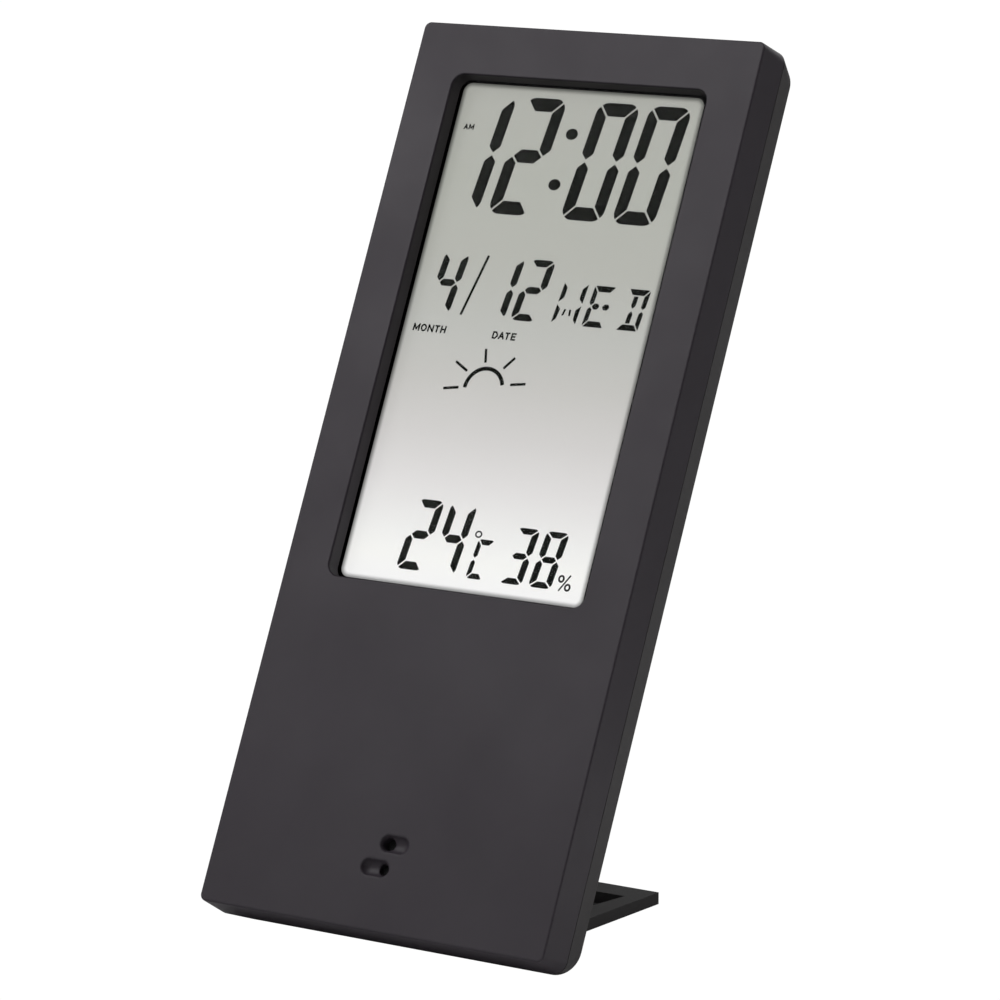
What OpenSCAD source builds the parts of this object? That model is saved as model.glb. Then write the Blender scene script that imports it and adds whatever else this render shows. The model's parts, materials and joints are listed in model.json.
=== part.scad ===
// Home weather station: a slim table clock with a tall liquid crystal display that also shows
// the room's temperature and humidity. It leans back on a fold-out frame stand.
// Every piece is drawn upright (x across, y back from the front, z up the front) and then the
// whole case is leaned back onto its rear bottom edge. Millimetres, +Z up, table at Z = 0.

/* [Case] */
// Width of the front face
face_w = 61.4; // [50:0.1:80]
// Height of the front face, measured up its slope
face_h = 143.6; // [120:0.1:180]
// Outward flare of the front shell from the face to the seam
flare = 0.6; // [0.2:0.1:1.2]
// Inward taper of the rear shell from the seam to its rear edge
taper = 0.35; // [0.1:0.05:0.8]
// Depth of the seam between the two shells
seam_d = 6.0; // [5:0.1:7]
// Depth of the rear edge where the back's slope begins
edge_d = 10.0; // [9:0.1:11]
// Depth of the flat back
back_d = 15.0; // [15:0.1:15]
// Width of the dark gap along the seam
seam_gap = 0.14; // [0.06:0.02:0.3]
// Radius of the rounding round the face
face_round = 0.3; // [0.2:0.05:1]
// Corner radius of the face's outline
corner_r = 1.1; // [1:0.1:2]
// Corner radius of the outline at the seam
seam_corner_r = 2.1; // [1:0.1:3]
// Corner radius of the outline at the rear edge
rear_corner_r = 4.0; // [2:0.1:4]
// Corner radius of the flat back
back_corner_r = 3.0; // [2:0.1:3]
// Thickness of the face plate
face_t = 1.9; // [1.5:0.1:2.2]
// Thickness of the back wall
back_t = 1.5; // [1.2:0.1:1.8]
// Lean of the case from upright when it stands, in degrees
lean = 26.56; // [20:0.01:32]

/* [Display] */
// Width of the display opening
win_w = 45.8; // [40:0.1:48]
// Bottom of the display opening above the face's bottom edge
win_z0 = 52.85; // [52:0.05:56]
// Top of the display opening above the face's bottom edge
win_z1 = 135.25; // [130:0.05:136]
// Corner radius of the display opening
win_r = 2.0; // [1:0.1:3]
// Chamfer round the display opening's front edge
win_edge = 0.2; // [0.1:0.05:0.3]
// Depth of the opening's rim
rim_d = 2.7; // [2.4:0.1:2.8]
// Height of the air vents' middle line, upper vent
vent_upper_z = 13.4; // [12:0.1:15]
// Height of the air vents' middle line, lower vent
vent_lower_z = 9.5; // [8:0.1:11]
// Radius of the upper vent's hole
vent_hole_r = 1.0; // [0.8:0.05:1.1]

/* [Stand] */
// Length of the stand from its hinge line to its free edge
stand_len = 36.65; // [30:0.05:37]
// Half width of the stand at its free edge
stand_tip = 21.87; // [18:0.01:22]
// Narrowing of the half width per millimetre towards the hinge
stand_slope = 0.104; // [0:0.001:0.11]
// Half width of the hole in the stand at its end by the hinge
hole_near = 13.1; // [10:0.1:14]
// Half width of the hole in the stand at its end by the free edge
hole_far = 18.45; // [14:0.05:18.5]
// Width of the stand's bar along its free edge
stand_bar = 4.65; // [4:0.05:7]
// Thickness of the stand's plate
stand_t = 1.9; // [1.5:0.1:2]
// Height of the hinge line above the table when the stand is open
hinge_up = 3.5; // [3.4:0.05:3.5]
// Radius of the stand's hinge pins
pin_r = 1.2; // [1:0.05:1.3]
// Radial clearance of the pins in their sockets
pin_play = 0.05; // [0.03:0.01:0.08]

/* [Controls and power] */
// Height of the row of buttons
button_z = 104; // [98:0.5:108]
// Spacing of the buttons
button_pitch = 12; // [11:0.5:12]
// Radius of a button's cap
button_r = 2.95; // [2.5:0.05:3.2]
// Travel of a button
button_travel = 0.5; // [0.3:0.05:0.5]
// Height of the upper cell's middle line
cell_upper_z = 62.2; // [62.2:0.1:62.4]
// Height of the lower cell's middle line
cell_lower_z = 51.0; // [50.8:0.1:51.0]
// Radius of a size AAA cell
cell_r = 5.25; // [5.25:0.01:5.25]
// Length of a size AAA cell
cell_len = 44.5; // [44.5:0.1:44.5]
// Depth of the cells' middle lines
cell_d = 12.6; // [12.6:0.1:12.7]
// Depth of the battery door's outer face
door_d = 19.2; // [19:0.1:19.4]

/* [Hidden] */
$fn = 64;
case_dark = [0.25, 0.25, 0.26];
stand_dark = [0.21, 0.21, 0.22];
steel = [0.72, 0.73, 0.75];
brass = [0.80, 0.66, 0.36];
board_green = [0.10, 0.34, 0.20];
// Outline of the case at the face, the seam, the rear edge and the flat back
half_face = face_w / 2;
half_seam = half_face + flare;
half_edge = half_seam - taper;
back_step = back_d - edge_d;
half_back = half_edge - back_step;
z_seam0 = -flare;
z_seam1 = face_h + flare;
z_edge0 = z_seam0 + taper;
z_edge1 = z_seam1 - taper;
z_back0 = z_edge0 + back_step;
z_back1 = z_edge1 - back_step;
// Inside of the front shell
in_x = 29.1;
in_z0 = 1.6;
in_z1 = face_h - 1.6;
inner_back = back_d - back_t;
// Hinge line of the stand in the upright case: the place that lies hinge_up over the table
// when the case leans, with the stand's outer face flush with the flat back when folded
hinge_d = back_d - hinge_up;
hinge_z = (hinge_up + (hinge_d - edge_d) * sin(lean)) / cos(lean) + z_edge0;
// Half width of the stand's plate at a distance from the hinge line
function stand_half(u) = stand_tip - (stand_len - u) * stand_slope;
hinge_half = stand_half(0);
stand_v0 = -hinge_up;
stand_v1 = -hinge_up + stand_t;
// Distance that puts the middle of the whole object over the origin
rear_shift = 29.056;
board_d0 = 8.2;
board_d1 = 9.2;
tray_screw_x = 27.0;
tray_screw_z = [58, 130];
board_screw_x = 21.5;
board_screw_z = [76.5, 131.5];
case_screw_x = 23.4;
case_screw_z = 7.5;
sensor_screw_x = 9;
sensor_screw_z = 11;
box_x = 23.75;
box_z0 = 45.3;
box_z1 = 67.9;
bulge_x = 25.4;
bulge_z0 = 44.1;
bulge_z1 = 71.2;
door_under = 17.95;

// Leans the upright case back onto its rear bottom edge
module leaned() {
    translate([0, -rear_shift, 0])
        rotate([-lean, 0, 0])
            translate([0, -edge_d, -z_edge0])
                children();
}

// Rounded rectangle from height z0 to z1, centred across
module outline(half, z0, z1, r) {
    translate([-half + r, z0]) square([2 * half - 2 * r, z1 - z0]);
    translate([-half, z0 + r]) square([2 * half, z1 - z0 - 2 * r]);
    for (x = [-half + r, half - r], z = [z0 + r, z1 - r])
        translate([x, z]) circle(r = r);
}

// Plate with rounded corners between two depths
module slab(half, z0, z1, d0, d1, r) {
    translate([0, d1, 0])
        rotate([90, 0, 0])
            linear_extrude(d1 - d0)
                outline(half, z0, z1, r);
}

// Sheet with a plain rectangular outline between two depths
module sheet(half, z0, z1, d0, d1) {
    translate([-half, d0, z0]) cube([2 * half, d1 - d0, z1 - z0]);
}

// Block given by its two opposite corners
module block(a, b) {
    translate(a) cube([b[0] - a[0], b[1] - a[1], b[2] - a[2]]);
}

// Round bar that runs from depth d0 to d1
module peg(x, z, r, d0, d1) {
    translate([x, d1, z])
        rotate([90, 0, 0])
            cylinder(r = r, h = d1 - d0);
}

// Round bar that runs across from x0 to x1
module axle(d, z, r, x0, x1) {
    translate([x0, d, z])
        rotate([0, 90, 0])
            cylinder(r = r, h = x1 - x0);
}

// Shape drawn in depth and height, stretched across from x0 to x1
module profile(points, x0, x1) {
    translate([x0, 0, 0])
        rotate([90, 0, 90])
            linear_extrude(x1 - x0)
                polygon(points);
}

// Short wire between two places, with a round end at each
module wire(a, b, r) {
    v = b - a;
    len = norm(v);
    translate(a)
        rotate([0, acos(v[2] / len), atan2(v[1], v[0])])
            cylinder(r = r, h = len, $fn = 24);
    translate(a) sphere(r = r + 0.04, $fn = 24);
    translate(b) sphere(r = r + 0.04, $fn = 24);
}

// Pan head screw driven towards the front, its head resting at depth d
module screw(x, z, d, shank_r, shank_len, head_r, head_t) {
    difference() {
        union() {
            peg(x, z, shank_r, d - shank_len, d + 0.1);
            peg(x, z, head_r, d, d + head_t * 0.6);
            translate([x, d + head_t * 0.6, z])
                rotate([-90, 0, 0])
                    cylinder(r1 = head_r, r2 = head_r * 0.7, h = head_t * 0.4);
        }
        block([x - head_r * 0.6, d + head_t * 0.45, z - 0.2],
            [x + head_r * 0.6, d + head_t + 1, z + 0.2]);
        block([x - 0.2, d + head_t * 0.45, z - head_r * 0.6],
            [x + 0.2, d + head_t + 1, z + head_r * 0.6]);
    }
}

// Outer form of the front shell: rounded edge, then walls that flare out to the seam
module front_form() {
    hull() {
        for (t = [0, 22.5, 45, 67.5, 90]) {
            inset = face_round * (1 - sin(t));
            depth = face_round * (1 - cos(t));
            slab(half_face - inset, inset, face_h - inset, depth, depth + 0.01,
                corner_r - inset, $fn = 48);
        }
        slab(half_seam, z_seam0, z_seam1, seam_d - seam_gap / 2 - 0.01,
            seam_d - seam_gap / 2, seam_corner_r, $fn = 48);
    }
}

// Outer form of the rear shell: taper to the rear edge, then a slope to the flat back
module rear_form() {
    hull() {
        slab(half_seam, z_seam0, z_seam1, seam_d + seam_gap / 2,
            seam_d + seam_gap / 2 + 0.01, seam_corner_r, $fn = 48);
        slab(half_edge, z_edge0, z_edge1, edge_d - 0.005, edge_d + 0.005, rear_corner_r,
            $fn = 48);
        slab(half_back, z_back0, z_back1, back_d - 0.01, back_d, back_corner_r, $fn = 48);
    }
}

// Scooped groove with round ends, sunk into the face to a depth
module vent_groove(x0, x1, z, r, depth) {
    axle(depth - r, z, r, x0, x1);
    for (x = [x0, x1])
        translate([x, depth - r, z]) sphere(r = r + 0.03);
}

// Opening for the display, with a small chamfer round its front edge
module display_opening() {
    slab(win_w / 2, win_z0, win_z1, -1, 4, win_r);
    hull() {
        slab(win_w / 2 + win_edge, win_z0 - win_edge, win_z1 + win_edge, -0.02, 0,
            win_r + win_edge);
        slab(win_w / 2, win_z0, win_z1, win_edge, win_edge + 0.02, win_r);
    }
}

module front_housing() {
    color(case_dark) leaned() difference() {
        union() {
            difference() {
                front_form();
                slab(in_x, in_z0, in_z1, face_t, 8, 1.5);
            }
            slab(win_w / 2 + 2.0, win_z0 - 1.9, win_z1 + 1.9, face_t - 0.2, rim_d, 2.5);
            for (x = [-tray_screw_x, tray_screw_x], z = tray_screw_z)
                peg(x, z, 1.45, face_t - 0.2, 5.65);
            for (x = [-case_screw_x, case_screw_x]) {
                peg(x, case_screw_z, 2.6, face_t - 0.2, 7.0);
                block([x - 0.5, face_t - 0.2, in_z0 - 0.2], [x + 0.5, 4.6, 5.2]);
            }
            for (x = [-sensor_screw_x, sensor_screw_x])
                peg(x, sensor_screw_z, 1.6, face_t - 0.2, 3.55);
            for (z = [24, 34, 44])
                block([-in_x - 0.1, face_t - 0.2, z], [in_x + 0.1, 3.2, z + 1]);
            for (x = [-14.5, 13.5])
                block([x, face_t - 0.2, 24.5], [x + 1, 3.2, 44.5]);
        }
        display_opening();
        vent_groove(0, 2.25, vent_upper_z, 1.4, 1.0);
        vent_groove(-2.4, -0.1, vent_lower_z, 1.35, 1.0);
        peg(-0.15, vent_upper_z, vent_hole_r, -1, 3);
        peg(-0.05, vent_lower_z, vent_hole_r - 0.1, -1, 3);
        for (x = [-tray_screw_x, tray_screw_x], z = tray_screw_z)
            peg(x, z, 0.65, 2.6, 6);
        for (x = [-case_screw_x, case_screw_x])
            peg(x, case_screw_z, 0.9, 2.8, 8);
        for (x = [-sensor_screw_x, sensor_screw_x])
            peg(x, sensor_screw_z, 0.65, 2.1, 4);
        for (x = [-14, 14])
            block([x - 4, 3.6, in_z1 - 0.2], [x + 4, 5.0, in_z1 + 0.85]);
    }
}

// Space that the stand swings in and folds into
module stand_pocket() {
    grow = 0.35;
    mouth = hinge_z - 2.0;
    translate([0, back_d + 1, 0])
        rotate([90, 0, 0])
            linear_extrude(back_d + 1 - (back_d - stand_t - 0.3))
                polygon([[-hinge_half - grow, mouth], [hinge_half + grow, mouth],
                    [hinge_half + grow, hinge_z], [stand_tip + grow, hinge_z + stand_len + grow],
                    [-stand_tip - grow, hinge_z + stand_len + grow],
                    [-hinge_half - grow, hinge_z]]);
    axle(hinge_d, hinge_z, 2.05, -hinge_half - grow, hinge_half + grow);
    profile([[back_d + 1, hinge_z + 3.6], [back_d - stand_t - 0.3, hinge_z + 3.6],
        [hinge_d - 1.2, hinge_z + 1.7], [hinge_d - 1.5, hinge_z - 1.4],
        [hinge_d - 0.5, hinge_z - 1.95], [back_d + 1, hinge_z - 2.3]],
        -hinge_half - grow, hinge_half + grow);
    // a scoop above the free edge lets a fingertip lift the stand
    peg(0, hinge_z + stand_len - 0.5, 5, back_d - stand_t + 0.2, back_d + 1);
}

// Cross-section of the battery door and of the bar above it, with sloped sides
module door_section(under) {
    polygon([[-25.3, under], [25.3, under], [25.3, door_under + 0.25],
        [24.3, door_d], [-24.3, door_d], [-25.3, door_under + 0.25]]);
}

module rear_housing() {
    color(case_dark) leaned() difference() {
        union() {
            difference() {
                rear_form();
                difference() {
                    hull() {
                        slab(28.6, 2.1, 141.5, 5, edge_d, 1.5, $fn = 32);
                        slab(half_back - 1.1, z_back0 + 1.1, z_back1 - 1.1,
                            inner_back - 0.01, inner_back, 1.5, $fn = 32);
                    }
                    // floor of the stand's pocket and blocks round its hinge
                    block([-24, 11.3, 0], [24, 16, hinge_z + stand_len + 2]);
                    block([-21.5, 7.9, 0], [21.5, 16, 9.6]);
                    // battery box
                    block([-bulge_x, 6.7, bulge_z0], [bulge_x, 16, box_z1 + 1.2]);
                    // screw wells
                    for (x = [-case_screw_x, case_screw_x])
                        peg(x, case_screw_z, 3.3, 7.05, 16);
                    // posts that hold the board against the push of a finger
                    for (x = [-12, 12], z = [button_z - 9, button_z + 9])
                        peg(x, z, 1.5, board_d1 + 0.05, 16);
                }
            }
            // battery box in front of the cavity's mouth and behind the flat back
            block([-bulge_x, 6.7, bulge_z0], [bulge_x, 10, box_z1 + 1.2]);
            block([-bulge_x, back_d - 1, bulge_z0], [bulge_x, door_under - 0.05, bulge_z1]);
            // bar above the battery door
            intersection() {
                profile([[door_under - 0.2, box_z1 + 1.4], [door_under - 0.2, bulge_z1],
                    [door_under, bulge_z1], [door_d, bulge_z1 - 1.0], [door_d, box_z1 + 1.4]],
                    -bulge_x, bulge_x);
                translate([0, 0, box_z1])
                    linear_extrude(bulge_z1 - box_z1 + 1)
                        door_section(door_under - 0.3);
            }
            // lip that registers inside the front shell
            difference() {
                slab(29.0, 1.7, in_z1 - 0.1, 4.9, 7.2, 1.5);
                slab(28.1, 2.6, in_z1 - 1.0, 4.8, 7.3, 1.2);
                for (z = tray_screw_z)
                    sheet(30, z - 2.4, z + 2.4, 4.8, 7.3);
            }
            // hooks that catch the front shell's top wall
            for (x = [-14, 14]) {
                block([x - 3.5, 3.8, in_z1 - 1.0], [x + 3.5, 5.2, in_z1 - 0.1]);
                block([x - 3.5, 3.8, in_z1 - 0.3], [x + 3.5, 4.8, in_z1 + 0.65]);
            }
        }
        stand_pocket();
        for (x = [-case_screw_x, case_screw_x]) {
            peg(x, case_screw_z, 1.15, 7, 11);
            peg(x, case_screw_z, 2.3, 10.6, 16);
        }
        // sockets for the stand's pins
        axle(hinge_d, hinge_z, pin_r + pin_play, -hinge_half - 2.2, hinge_half + 2.2);
        // battery box, its contact slots, and the rails for the door's tongues
        block([-box_x, 7.3, box_z0], [box_x, 21, box_z1]);
        for (z = [cell_upper_z, cell_lower_z])
            block([box_x - 0.1, 8.4, z - 1.4], [bulge_x + 1, 9.2, z + 1.4]);
        for (m = [0, 1]) mirror([m, 0, 0]) {
            block([box_x - 0.1, 16.6, bulge_z0 - 1], [24.35, 18.5, box_z1 + 0.6]);
            block([box_x - 0.1, 16.6, bulge_z0 - 1], [25.0, 17.35, box_z1 + 0.6]);
        }
        // button holes
        for (i = [-1.5, -0.5, 0.5, 1.5])
            peg(i * button_pitch, button_z, button_r + 0.1, 12, 16);
        // hanging keyhole
        peg(0, 127.0, 3.75, 12, 16);
        peg(0, 133.0, 1.9, 12, 16);
        block([-1.9, 12, 127.0], [1.9, 16, 133.0]);
    }
}

module battery_door() {
    color(case_dark) leaned() {
        difference() {
            translate([0, 0, bulge_z0])
                linear_extrude(box_z1 + 1.3 - bulge_z0)
                    door_section(door_under);
            // sloped bottom edge
            profile([[door_under + 0.3, bulge_z0 - 1], [door_d + 1, bulge_z0 - 1],
                [door_d + 1, bulge_z0 + 1.9], [door_under + 0.3, bulge_z0]], -26, 26);
            // finger scoop
            peg(0, bulge_z0 + 17.5, 5.5, door_d - 0.45, door_d + 1);
        }
        // grip ridges in the scoop
        for (z = [14.5, 16.5, 18.5, 20.5])
            block([-3.2, door_d - 0.6, bulge_z0 + z - 0.4],
                [3.2, door_d + 0.05, bulge_z0 + z + 0.4]);
        // tongues that run in the box's rails
        for (m = [0, 1]) mirror([m, 0, 0])
            for (z = [44.4, 55.1, 65.5]) {
                block([23.85, 16.7, z], [24.25, door_under + 0.1, z + 2.6]);
                block([23.85, 16.7, z], [24.85, 17.25, z + 2.6]);
            }
    }
}

// The stand is drawn open: u runs back along the table from the hinge line, v up from it
module kickstand() {
    hy = (hinge_d - edge_d) * cos(lean) + (hinge_z - z_edge0) * sin(lean) - rear_shift;
    arm_in = 13.4;
    color(stand_dark) translate([0, hy, hinge_up]) {
        difference() {
            translate([0, 0, stand_v0])
                linear_extrude(stand_t)
                    polygon([[-stand_half(2.6), 2.6], [stand_half(2.6), 2.6],
                        [stand_tip, stand_len], [-stand_tip, stand_len]]);
            translate([0, 0, stand_v0 - 1])
                linear_extrude(stand_t + 2)
                    polygon([[-hole_near, 9.0], [hole_near, 9.0], [hole_far, stand_len - stand_bar],
                        [-hole_far, stand_len - stand_bar]]);
        }
        for (m = [0, 1]) mirror([m, 0, 0]) {
            profile([[-1.1, -1.2], [2.6, stand_v0], [6.0, stand_v0], [6.0, stand_v1],
                [3.2, stand_v1], [1.4, 0.9]], arm_in, hinge_half);
            axle(0, 0, 1.75, arm_in, hinge_half);
            axle(0, 0, pin_r, hinge_half - 0.5, hinge_half + 1.9);
        }
    }
}

// Push button: a cap in the back wall with a flange inside
module button_at(i) {
    x = i * button_pitch;
    color(stand_dark) leaned() difference() {
        union() {
            peg(x, button_z, 3.7, 12.75, inner_back - 0.05);
            peg(x, button_z, button_r, 13, 15.2);
            translate([x, 15.2, button_z])
                rotate([-90, 0, 0])
                    cylinder(r1 = button_r, r2 = button_r - 0.3, h = 0.3);
        }
        // shallow dish for the fingertip
        translate([x, 15.5 + 9.7, button_z]) sphere(r = 10);
    }
}

module button_mode() {
    button_at(-1.5);
}

module button_up() {
    button_at(-0.5);
}

module button_down() {
    button_at(0.5);
}

module button_unit() {
    button_at(1.5);
}

module display_window() {
    color([0.80, 0.85, 0.85, 0.35]) leaned()
        slab(win_w / 2 + 1.5, win_z0 - 1.5, win_z1 + 1.5, rim_d + 0.02, 3.5, 1.5);
}

module front_polarizer() {
    color([0.72, 0.74, 0.70]) leaned()
        sheet(24.3, 51.0, 136.0, 3.55, 3.77);
}

module lcd_front_glass() {
    color([0.80, 0.88, 0.86, 0.4]) leaned()
        sheet(24.6, 50.5, 138.8, 3.8, 4.5);
}

module lcd_rear_glass() {
    color([0.80, 0.88, 0.86, 0.4]) leaned()
        sheet(24.6, 50.5, 136.2, 4.52, 5.22);
}

module rear_reflector() {
    color([0.78, 0.79, 0.77]) leaned()
        sheet(24.3, 51.0, 136.0, 5.24, 5.44);
}

module lcd_tray() {
    color([0.93, 0.93, 0.91]) leaned() difference() {
        union() {
            difference() {
                slab(25.4, 49.6, 139.7, 3.75, 6.2, 1.0);
                sheet(24.75, 50.3, 139.0, 3, 5.5);
            }
            for (z = tray_screw_z)
                sheet(28.4, z - 2, z + 2, 5.7, 6.4);
            for (x = [-board_screw_x, board_screw_x], z = board_screw_z)
                peg(x, z, 2.1, 6.0, board_d0 - 0.02);
        }
        sheet(24.75, 50.3, 139.0, 3, 5.5);
        sheet(23.4, 136.5, 138.6, 3, 9);
        for (x = [-tray_screw_x, tray_screw_x], z = tray_screw_z)
            peg(x, z, 0.9, 5, 7);
        for (x = [-board_screw_x, board_screw_x], z = board_screw_z)
            peg(x, z, 0.65, 6.0, 9);
    }
}

module zebra_strip() {
    color([0.85, 0.55, 0.62]) leaned()
        sheet(23.2, 136.7, 138.4, 4.52, board_d0 - 0.02);
}

module main_board() {
    color(board_green) leaned() difference() {
        slab(25.0, 71.5, 140.3, board_d0, board_d1, 0.8);
        for (x = [-board_screw_x, board_screw_x], z = board_screw_z)
            peg(x, z, 1.0, 7, 10);
    }
}

module chip_blob() {
    color([0.05, 0.05, 0.05]) leaned() intersection() {
        translate([2, board_d1 - 4.2, 117]) sphere(r = 6);
        block([-10, board_d1 + 0.02, 105], [14, 12, 130]);
    }
}

module crystal() {
    color(steel) leaned() {
        axle(10.3, 119, 1.0, -18, -12);
        axle(10.3, 118.6, 0.15, -12.1, -10.4);
        axle(10.3, 119.4, 0.15, -12.1, -10.4);
        peg(-10.4, 118.6, 0.15, board_d1 + 0.01, 10.3);
        peg(-10.4, 119.4, 0.15, board_d1 + 0.01, 10.3);
    }
}

module chip_resistors() {
    color([0.10, 0.10, 0.11]) leaned()
        for (x = [-16, -12.8, -9.6, 9.6, 12.8, 16])
            block([x - 0.8, board_d1 + 0.02, 109.6], [x + 0.8, board_d1 + 0.55, 110.4]);
}

module capacitors() {
    color([0.66, 0.67, 0.69]) leaned()
        for (z = [117, 123]) {
            block([12.9, board_d1 + 0.02, z - 2.1], [17.1, board_d1 + 0.6, z + 2.1]);
            peg(15, z, 1.95, board_d1 + 0.5, 12.9);
        }
}

module switch_bodies() {
    color([0.14, 0.14, 0.15]) leaned()
        for (i = [-1.5, -0.5, 0.5, 1.5]) {
            x = i * button_pitch;
            block([x - 3, board_d1 + 0.02, button_z - 3], [x + 3, 11.7, button_z + 3]);
        }
}

module switch_plungers() {
    color([0.75, 0.74, 0.70]) leaned()
        for (i = [-1.5, -0.5, 0.5, 1.5])
            peg(i * button_pitch, button_z, 1.6, 11.72, 12.2);
}

module sensor_board() {
    color(board_green) leaned() difference() {
        slab(12, 4.0, 18.0, 3.6, 4.4, 0.6);
        for (x = [-sensor_screw_x, sensor_screw_x])
            peg(x, sensor_screw_z, 0.85, 3, 5);
    }
}

module humidity_sensor() {
    color([0.90, 0.90, 0.88]) leaned() difference() {
        block([-1.5, 2.5, vent_upper_z - 1.5], [1.5, 3.58, vent_upper_z + 1.5]);
        peg(0, vent_upper_z, 0.6, 2.3, 2.8);
    }
}

module thermistor() {
    color([0.12, 0.16, 0.30]) leaned() {
        translate([0, 2.95, vent_lower_z]) sphere(r = 0.6, $fn = 32);
        for (x = [-0.35, 0.35])
            peg(x, vent_lower_z, 0.15, 2.95, 3.58);
    }
}

module vent_membrane() {
    color([0.30, 0.31, 0.32]) leaned()
        sheet(5, 6.5, 16.5, face_t + 0.02, face_t + 0.22);
}

// Size AAA cell with its raised positive end towards +x before any mirroring
module cell(z) {
    x0 = -cell_len / 2 + 1.0;
    x1 = cell_len / 2 + 1.0;
    axle(cell_d, z, cell_r - 0.5, x0, x0 + 0.5);
    axle(cell_d, z, cell_r, x0 + 0.4, x1 - 1.2);
    axle(cell_d, z, cell_r - 0.5, x1 - 1.3, x1 - 0.8);
    axle(cell_d, z, 1.9, x1 - 0.9, x1);
}

module battery_upper() {
    color([0.30, 0.42, 0.38]) leaned() cell(cell_upper_z);
}

module battery_lower() {
    color([0.30, 0.42, 0.38]) leaned() mirror([1, 0, 0]) cell(cell_lower_z);
}

// Cone spring drawn as touching rings, from the plate at x towards the middle
module cone_spring(x, z) {
    for (i = [0:3])
        translate([x - 0.3 - i * 0.42, cell_d, z])
            rotate([0, 90, 0])
                rotate_extrude($fn = 48)
                    translate([3.3 - i * 0.38, 0]) circle(r = 0.31, $fn = 16);
}

// Flat plate at the box's end wall, with a tail through the slot
module contact_plate(z0, z1) {
    block([23.3, 8.6, z0], [23.7, 16.2, z1]);
}

module contact_positive() {
    color(steel) leaned() {
        contact_plate(cell_upper_z - 4.2, cell_upper_z + 4.2);
        block([23.3, 8.6, cell_upper_z - 1], [26.2, 9.0, cell_upper_z + 1]);
    }
}

module contact_negative() {
    color(steel) leaned() {
        contact_plate(cell_lower_z - 4.2, cell_lower_z + 4.2);
        block([23.3, 8.6, cell_lower_z - 1], [26.2, 9.0, cell_lower_z + 1]);
        cone_spring(23.3, cell_lower_z);
    }
}

module contact_bridge() {
    color(steel) leaned() mirror([1, 0, 0]) {
        contact_plate(cell_lower_z - 4.2, cell_upper_z + 4.2);
        cone_spring(23.3, cell_upper_z);
    }
}

module wire_red() {
    a = [26.0, 9.52, cell_upper_z];
    b = [26.0, 9.8, 70.5];
    c = [23.9, 9.8, 73.0];
    color([0.75, 0.10, 0.08]) leaned() {
        wire(a, b, 0.45);
        wire(b, c, 0.45);
    }
}

module wire_black() {
    a = [26.0, 9.52, cell_lower_z];
    b = [27.3, 9.8, cell_lower_z + 4];
    c = [27.3, 9.8, 74.5];
    d = [24.2, 9.8, 80.0];
    color([0.05, 0.05, 0.05]) leaned() {
        wire(a, b, 0.45);
        wire(b, c, 0.45);
        wire(c, d, 0.45);
    }
}

module sensor_cable() {
    color([0.55, 0.55, 0.57]) leaned()
        for (i = [0, 1, 2]) {
            a = [-10.5, 4.92, 16.8 - 1.4 * i];
            b = [-25.95 - i, 9.8, 28 - i];
            c = [-25.95 - i, 9.8, 71.5 + 1.5 * i];
            d = [-24.0, 9.8, 73.5 + 1.5 * i];
            wire(a, b, 0.42);
            wire(b, c, 0.42);
            wire(c, d, 0.42);
        }
}

module case_screws() {
    color(steel) leaned()
        for (x = [-case_screw_x, case_screw_x])
            screw(x, case_screw_z, 10.65, 0.87, 7.2, 2.0, 1.5);
}

module tray_screws() {
    color(steel) leaned()
        for (x = [-tray_screw_x, tray_screw_x], z = tray_screw_z)
            screw(x, z, 6.42, 0.62, 3.4, 1.35, 0.9);
}

module board_screws() {
    color(steel) leaned()
        for (x = [-board_screw_x, board_screw_x], z = board_screw_z)
            screw(x, z, board_d1 + 0.02, 0.62, 2.9, 1.7, 1.1);
}

module sensor_screws() {
    color(steel) leaned()
        for (x = [-sensor_screw_x, sensor_screw_x])
            screw(x, sensor_screw_z, 4.42, 0.62, 2.1, 1.5, 1.0);
}

front_housing();
rear_housing();
battery_door();
kickstand();
button_mode();
button_up();
button_down();
button_unit();
display_window();
front_polarizer();
lcd_front_glass();
lcd_rear_glass();
rear_reflector();
lcd_tray();
zebra_strip();
main_board();
chip_blob();
crystal();
chip_resistors();
capacitors();
switch_bodies();
switch_plungers();
sensor_board();
humidity_sensor();
thermistor();
vent_membrane();
battery_upper();
battery_lower();
contact_positive();
contact_negative();
contact_bridge();
wire_red();
wire_black();
sensor_cable();
case_screws();
tray_screws();
board_screws();
sensor_screws();
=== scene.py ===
"""Looks of the home weather station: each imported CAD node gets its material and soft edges, and
the display's figures, captions and printed border are built here in mesh code."""

import json
import math

import bmesh
import bpy
from mathutils import Matrix, Vector


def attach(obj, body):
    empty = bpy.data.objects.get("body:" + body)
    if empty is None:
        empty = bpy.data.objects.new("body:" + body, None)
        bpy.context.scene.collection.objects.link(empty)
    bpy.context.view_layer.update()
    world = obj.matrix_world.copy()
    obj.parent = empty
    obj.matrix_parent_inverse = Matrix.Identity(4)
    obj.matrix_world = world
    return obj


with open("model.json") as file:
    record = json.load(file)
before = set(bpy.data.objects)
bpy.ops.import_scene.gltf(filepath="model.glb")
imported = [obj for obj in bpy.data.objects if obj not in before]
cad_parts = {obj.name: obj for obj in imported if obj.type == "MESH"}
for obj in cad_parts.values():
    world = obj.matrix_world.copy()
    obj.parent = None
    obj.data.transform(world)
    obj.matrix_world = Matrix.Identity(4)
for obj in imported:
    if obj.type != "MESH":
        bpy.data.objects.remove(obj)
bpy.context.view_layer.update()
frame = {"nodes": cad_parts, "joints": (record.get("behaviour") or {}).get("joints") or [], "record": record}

NODES = frame["nodes"]
MM = 0.001


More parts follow.
